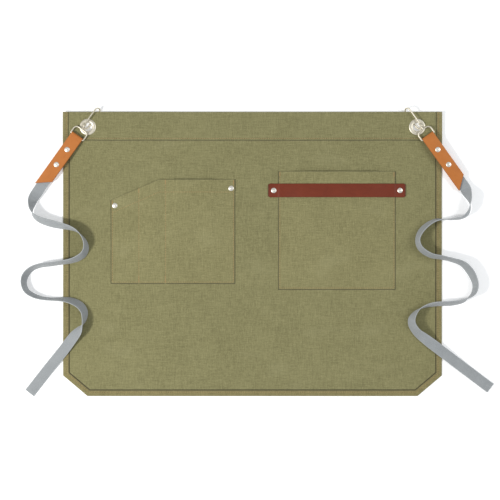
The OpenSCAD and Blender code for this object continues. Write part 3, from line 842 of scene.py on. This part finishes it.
def leather_finish(name, dark, mid, pale, edge, gloss):
    """Smooth leather with fine pores, faint drag lines and burnished edges."""
    finish = Finish(name, Specular_IOR_Level=0.25, Coat_Roughness=0.4)
    place = finish.place(1, 1, 1)
    cells = finish.add(
        "ShaderNodeTexVoronoi", {"Vector": place, "Scale": 1.5}, feature="DISTANCE_TO_EDGE"
    ).between(0.0, 0.16)
    grain = finish.noise(place, 0.9, 4.0, 0.65)
    cloud = finish.noise(place, 0.06, 3.0, 0.6)
    along = finish.attribute("along")
    across = finish.attribute("across")
    spot = finish.add("ShaderNodeCombineXYZ", {0: along * 0.05, 1: across * 0.9, 2: 0.0})
    lines = finish.noise(spot, 1.0, 3.0, 0.6)
    level = grain * 0.35 + cloud * 0.55 + lines * 0.35 - 0.12
    colour = finish.mix(level.between(0.2, 0.55), dark, mid)
    colour = finish.mix(level.between(0.5, 0.9), colour, pale)
    worn = finish.attribute("worn").at_least(0).at_most(1)
    colour = finish.mix(worn * 0.85, colour, edge)
    height = cells * 0.5 + grain * 0.5 + lines * 0.25
    return finish.set(
        Base_Color=colour, Roughness=gloss + grain * 0.12 + worn * 0.06,
        Coat_Weight=0.06 - worn * 0.03, Normal=finish.bump(height, 0.00012, 0.45),
    )


oxblood = leather_finish(
    "oxblood_leather", (0.165, 0.022, 0.006, 1), (0.245, 0.036, 0.010, 1), (0.325, 0.056, 0.018, 1),
    (0.070, 0.016, 0.009, 1), 0.50,
)


def towel_strap():
    rows = 150
    middle_y = (strap_low.y + strap_high.y) / 2
    ring = strap_ring(strap_high.y - strap_low.y, STRAP_T, 0.0007)
    length = strap_high.x - strap_low.x
    pocket_x = (square.low.x, square.high.x)

    def under(x):
        """Height of what the strap lies on."""
        on = rise((min(x - pocket_x[0], pocket_x[1] - x) + 0.0012) / 0.0030)
        low = lie(x, middle_y) + CLOTH_T
        return low + (square.face(min(max(x, pocket_x[0]), pocket_x[1]), middle_y) + 0.0002 - low) * on

    def place(row, column):
        t = row / (rows - 1)
        x = strap_low.x + length * t
        across, off = ring[column]
        from_end = min(t, 1 - t) * length
        narrow = 1 - 0.16 * (1 - rise(from_end / 0.004)) + 0.03 * math.exp(-((from_end / 0.012) ** 2))
        tall = 0.55 + 0.45 * rise(from_end / 0.0012)
        dent = 0.0002 * math.exp(-(((from_end - 0.0103) / 0.006) ** 2))
        z = under(x) + STRAP_T / 2 + off * tall - dent
        worn = rise((abs(across) - 0.0108) / 0.0016) * 0.8 + 0.7 * (1 - rise(from_end / 0.0025))
        return Vector((x, middle_y + across * narrow, z)), {
            "along": x / MM, "across": across / MM, "worn": min(worn, 1),
        }

    bm = lay_grid(rows, len(ring), place, closed=True)
    return finished("towel_strap_leather", bm, oxblood, "apron", ["towel_strap"])


towel_strap()

# ---- Rivets -----------------------------------------------------------------
# Nickel jean rivets: a domed cap with a shallow ring, and a flat back set in the cloth.
# The caps are turned shapes, and the backs and posts keep their modelled form.
def metal_finish(name, tint, dull, rough):
    """Plated metal: fine rubbed scratches and slightly duller patches."""
    finish = Finish(name, Metallic=1.0)
    place = finish.place(1, 1, 1)
    rubbed = finish.noise(finish.place(0.5, 4.0, 2.0), 1.0, 3.0, 0.6)
    patch = finish.noise(place, 0.35, 3.0, 0.6)
    colour = finish.mix(patch.between(0.35, 0.75), dull, tint)
    return finish.set(
        Base_Color=colour, Roughness=rough + rubbed * 0.10 + patch * 0.06,
        Normal=finish.bump(rubbed, 0.00003, 0.25),
    )


nickel = metal_finish("pale_nickel", (0.86, 0.81, 0.68, 1), (0.72, 0.67, 0.55, 1), 0.42)
rivet_nickel = metal_finish("rivet_nickel", (0.90, 0.87, 0.80, 1), (0.80, 0.77, 0.70, 1), 0.36)
# Radius and height in mm, from the cap's middle to under its edge
RIVET_CAP = [
    (0, 1.28), (0.8, 1.24), (1.5, 1.12), (1.9, 0.94), (2.15, 0.90), (2.5, 1.0), (3.1, 0.98),
    (3.9, 0.80), (4.5, 0.52), (4.9, 0.2), (5.0, 0.0), (4.7, -0.05), (1.5, -0.05), (0, -0.05),
]


def turned(bm, profile, steps, where):
    """Spins a profile in mm, from the axis outwards and back, to a closed round shape."""
    before = set(bm.verts)
    verts = [bm.verts.new((r * MM, 0, z * MM)) for r, z in profile]
    edges = [bm.edges.new(pair) for pair in zip(verts, verts[1:])]
    bmesh.ops.spin(
        bm, geom=[*verts, *edges], cent=(0, 0, 0), axis=(0, 0, 1), angle=2 * math.pi,
        steps=steps, use_merge=True,
    )
    fresh = [v for v in bm.verts if v not in before]
    bmesh.ops.remove_doubles(bm, verts=fresh, dist=1e-7)
    fresh = [v for v in bm.verts if v not in before]
    bmesh.ops.transform(bm, matrix=where, verts=fresh)
    bmesh.ops.recalc_face_normals(bm, faces=bm.faces)


def in_middle(box):
    return (box[0] + box[1]) / 2


strap_mid = in_middle(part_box("strap_rivets"))
strap_half = (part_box("strap_rivets")[1].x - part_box("strap_rivets")[0].x) / 2 - 0.005
bm = bmesh.new()
for side in (-1, 1):
    x, y = strap_mid.x + side * strap_half, strap_mid.y
    z = lie(x, y) + CLOTH_T + STRAP_T - 0.00015
    turned(bm, RIVET_CAP, 32, Matrix.Translation((x, y, z)))
finished("strap_rivet_caps", bm, rivet_nickel, "apron", ["strap_rivets"])

caps_low, caps_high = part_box("pocket_rivets")
bm = bmesh.new()
for x, y in ((caps_low.x + 0.005, caps_low.y + 0.005), (caps_high.x - 0.005, caps_high.y - 0.005)):
    turned(bm, RIVET_CAP, 32, Matrix.Translation((x, y, tool.face(x, y) - 0.0001)))
finished("pocket_rivet_caps", bm, rivet_nickel, "apron", ["pocket_rivets"])

# ---- Eyelets ----------------------------------------------------------------
# Pressed nickel eyelets through the waistband near its ends, each rolled over a washer
# on the back. Their rims are raised rolls round a dished mouth.
# Radius and height in mm above the band, from the rim round to the barrel
EYELET_RIM = [
    (15.0, 0.0), (15.05, 0.25), (14.7, 0.6), (13.9, 0.95), (12.6, 1.15), (11.2, 1.1), (10.0, 0.95),
    (9.2, 0.7), (8.6, 0.3), (8.25, -0.4), (8.0, -1.4), (8.0, -2.9), (8.6, -2.9), (8.6, -1.0),
    (9.2, 0.0), (12.0, 0.0), (15.0, 0.0),
]
for centre, word in zip(EYELETS, ("left", "right")):
    bm = bmesh.new()
    turned(bm, EYELET_RIM, 64, Matrix.Translation((centre.x, centre.y, band_high.z)))
    finished(f"eyelet_rim_{word}", bm, nickel, "apron", [f"eyelet_{word}"])

# ---- Leather tabs -----------------------------------------------------------
# A strip of tan leather folded round the ring's bar, with the webbing riveted between
# its two layers. The cut end is slanted.
joints = {j["name"]: j for j in frame["joints"]}
TAB_W = 0.024
TAB_T = 0.0016
TAB_L = 0.105
TAB_SLANT = 0.020
TAB_DIP = math.radians(2)
FOLD_R = 0.0023
TAB_TOP = 0.0031
TAB_RIVETS = (-0.030, -0.064)
tan_leather = leather_finish(
    "tan_leather", (0.480, 0.148, 0.024, 1), (0.620, 0.208, 0.038, 1), (0.710, 0.265, 0.062, 1),
    (0.260, 0.090, 0.030, 1), 0.50,
)


def bar_frame(side, name):
    """Places the ring bar's own axes: X across the tab, Y towards the hook, Z off the tab."""
    joint = joints[f"tab_lift_{name}"]
    ax, ay = abs(joint["axis"][0]), abs(joint["axis"][1])
    across = Vector((-side * ax, -ay, 0))
    ahead = Vector((-side * ay, ax, 0))
    away = Vector((0, 0, 1))
    ahead, away = (
        ahead * math.cos(TAB_DIP) + away * math.sin(TAB_DIP),
        away * math.cos(TAB_DIP) - ahead * math.sin(TAB_DIP),
    )
    place = Matrix((across, ahead, away)).transposed().to_4x4()
    return Matrix.Translation(joint["pos_m"]) @ place


def tab(side, name):
    where = bar_frame(side, name)
    rows = 121
    ring = strap_ring(TAB_W, TAB_T, 0.0006)
    bend = FOLD_R * math.pi / 2

    def place(row, column):
        across, off = ring[column]
        end = bend + TAB_L + side * across * TAB_SLANT / TAB_W
        t = 2 * row / (rows - 1) - 1
        gone = end * math.copysign(abs(t) ** 1.15, t)
        if abs(gone) < bend:
            turn = gone / FOLD_R
            spot = Vector((across, (FOLD_R + off) * math.cos(turn), (FOLD_R + off) * math.sin(turn)))
        else:
            way = math.copysign(1, gone)
            along = bend - abs(gone)
            press = sum(0.0002 * math.exp(-(((along - r) / 0.006) ** 2)) for r in TAB_RIVETS)
            spot = Vector((across, along, way * (FOLD_R + off - press)))
        from_end = end - abs(gone)
        worn = rise((abs(across) - 0.0105) / 0.0015) * 0.7 + 0.8 * (1 - rise(from_end / 0.0012))
        return where @ spot, {"along": gone / MM, "across": across / MM, "worn": min(worn, 1)}

    bm = lay_grid(rows, len(ring), place, closed=True)
    finished(f"leather_tab_{name}", bm, tan_leather, f"tab_{name}", [f"tab_{name}"])


def anchored_end(side, name):
    """The doubled end of the webbing between the tab's layers."""
    where = bar_frame(side, name)
    rows = 40
    ring = strap_ring(WEBBING_W, 2 * WEBBING_T - 0.0001, 0.0006)

    def place(row, column):
        across, off = ring[column]
        along = -0.018 - 0.077 * row / (rows - 1)
        return where @ Vector((across, along, off)), {"along": along / MM, "across": across / MM}

    bm = lay_grid(rows, len(ring), place, closed=True)
    finished(f"webbing_end_{name}", bm, webbing, f"tab_{name}", [f"tie_anchor_{name}"])


for side, name in ((-1, "left"), (1, "right")):
    tab(side, name)
    anchored_end(side, name)
    bm = bmesh.new()
    for along in TAB_RIVETS:
        where = bar_frame(side, name) @ Matrix.Translation((0, along, TAB_TOP - 0.0001))
        turned(bm, RIVET_CAP, 32, where)
    finished(f"tab_rivet_caps_{name}", bm, rivet_nickel, f"tab_{name}", [f"tab_rivets_{name}"])

# ---- Snap hooks and small metal parts ---------------------------------------
# Cast nickel hooks with a ring for the tab, a sprung wire gate on a pin, and the flat
# backs of the rivets and eyelets. Their modelled shapes stay.
spring_steel = metal_finish("spring_steel", (0.60, 0.60, 0.58, 1), (0.42, 0.41, 0.39, 1), 0.28)
KEPT = {
    "snap_hook": nickel, "gate": nickel, "gate_pin": nickel, "eyelet_washer": nickel,
    "gate_spring": spring_steel, "tab_rivet_backs": rivet_nickel,
}
for part, metal in KEPT.items():
    for name in ("left", "right"):
        node = frame["nodes"][f"{part}_{name}"]
        node.data.materials.clear()
        node.data.materials.append(metal)
for part in ("strap_rivet_backs", "pocket_rivet_backs"):
    node = frame["nodes"][part]
    node.data.materials.clear()
    node.data.materials.append(rivet_nickel)
